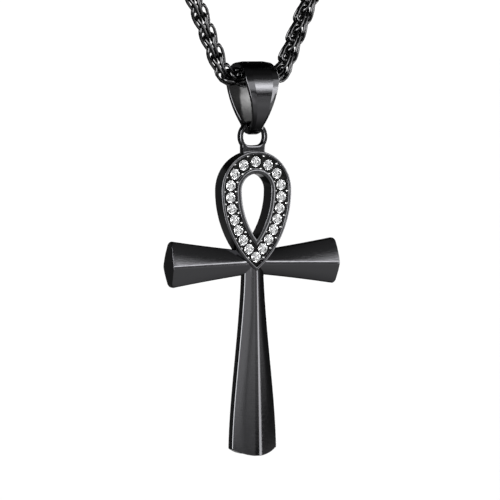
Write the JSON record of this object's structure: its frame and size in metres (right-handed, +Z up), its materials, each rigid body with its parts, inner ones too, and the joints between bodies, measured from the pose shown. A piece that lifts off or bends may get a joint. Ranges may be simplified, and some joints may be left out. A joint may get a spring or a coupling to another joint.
{
  "type": "ankh pendant necklace",
  "caption": "Flared ankh with a stone-set teardrop loop, hung by a folded strap bail from a closed round wheat chain with a barrel clasp.",
  "frame": {"origin": "where the necklace rests on the nape, under the middle of the barrel clasp at the top of the loop", "axes": "+Z up along the hanging necklace, +X to the right arm of the ankh as the viewer sees it, front of the pendant towards -Y"},
  "size_m": [0.1374, 0.0086, 0.2901],
  "materials": {
    "black_metal": "polished black plating on stainless steel",
    "clear_stone": "faceted and polished, clear"
  },
  "bodies": {
    "chain": {"chain": "black_metal", "clasp": "black_metal"},
    "bail": {"bail": "black_metal"},
    "ankh": {"ankh": "black_metal", "stone_01": "clear_stone", "stone_02": "clear_stone", "stone_03": "clear_stone", "stone_04": "clear_stone", "stone_05": "clear_stone", "stone_06": "clear_stone", "stone_07": "clear_stone", "stone_08": "clear_stone", "stone_09": "clear_stone", "stone_10": "clear_stone", "stone_11": "clear_stone", "stone_12": "clear_stone", "stone_13": "clear_stone", "stone_14": "clear_stone", "stone_15": "clear_stone", "stone_16": "clear_stone", "stone_17": "clear_stone", "stone_18": "clear_stone", "stone_19": "clear_stone", "stone_20": "clear_stone"}
  },
  "joints": [
    {"name": "bail_swing", "type": "hinge", "parent": "chain", "child": "bail", "pos_m": [0, 0, -0.22211], "axis": [1, 0, 0], "range_deg": [-90, 90]},
    {"name": "ankh_swing", "type": "hinge", "parent": "bail", "child": "ankh", "pos_m": [0, 0, -0.22959], "axis": [1, 0, 0], "range_deg": [-90, 90]}
  ]
}
